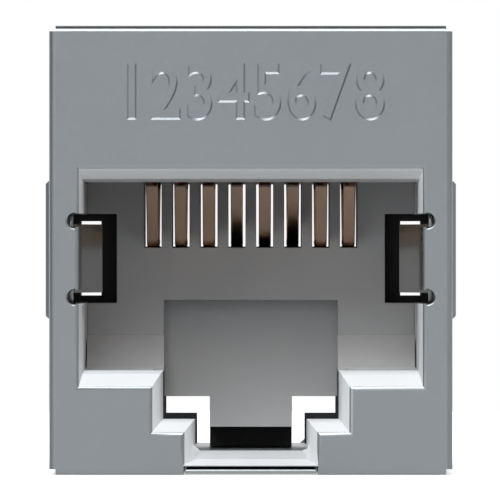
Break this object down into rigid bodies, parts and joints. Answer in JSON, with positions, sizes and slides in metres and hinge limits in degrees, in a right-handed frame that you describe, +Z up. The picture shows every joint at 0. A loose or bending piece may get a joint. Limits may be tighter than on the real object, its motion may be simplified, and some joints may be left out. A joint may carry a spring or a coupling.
{
  "type": "ethernet inline coupler",
  "caption": "Shielded inline coupler for network patch cords: a die-cast box with a modular jack at each end, joined by an inner wiring board.",
  "frame": {"origin": "centre of the bottom face, at mid-length under the parting line", "axes": "+X to the right seen from the front port, +Y from the front port to the rear port, +Z up from the latch side to the contact side"},
  "size_m": [0.0148, 0.033, 0.0161],
  "materials": {
    "cast_shell": "die-cast zinc, satin nickel plated",
    "grey_insert": "moulded grey polyester",
    "black_block": "moulded black polyester",
    "wiring_board": "glass-fibre laminate with green solder resist",
    "gold_contact": "phosphor bronze, gold plated",
    "spring_steel": "bright rolled stainless strip",
    "plate_steel": "stamped stainless sheet"
  },
  "bodies": {
    "root": {"front_shell": "cast_shell", "rear_shell": "cast_shell", "front_jack_insert": "grey_insert", "rear_jack_insert": "grey_insert", "centre_block": "black_block", "circuit_board": "wiring_board", "tie_plate": "plate_steel", "right_ground_spring": "spring_steel", "left_ground_spring": "spring_steel", "front_contact_1": "gold_contact", "rear_contact_1": "gold_contact", "front_contact_2": "gold_contact", "rear_contact_2": "gold_contact", "front_contact_3": "gold_contact", "rear_contact_3": "gold_contact", "front_contact_4": "gold_contact", "rear_contact_4": "gold_contact", "front_contact_5": "gold_contact", "rear_contact_5": "gold_contact", "front_contact_6": "gold_contact", "rear_contact_6": "gold_contact", "front_contact_7": "gold_contact", "rear_contact_7": "gold_contact", "front_contact_8": "gold_contact", "rear_contact_8": "gold_contact"}
  },
  "joints": []
}
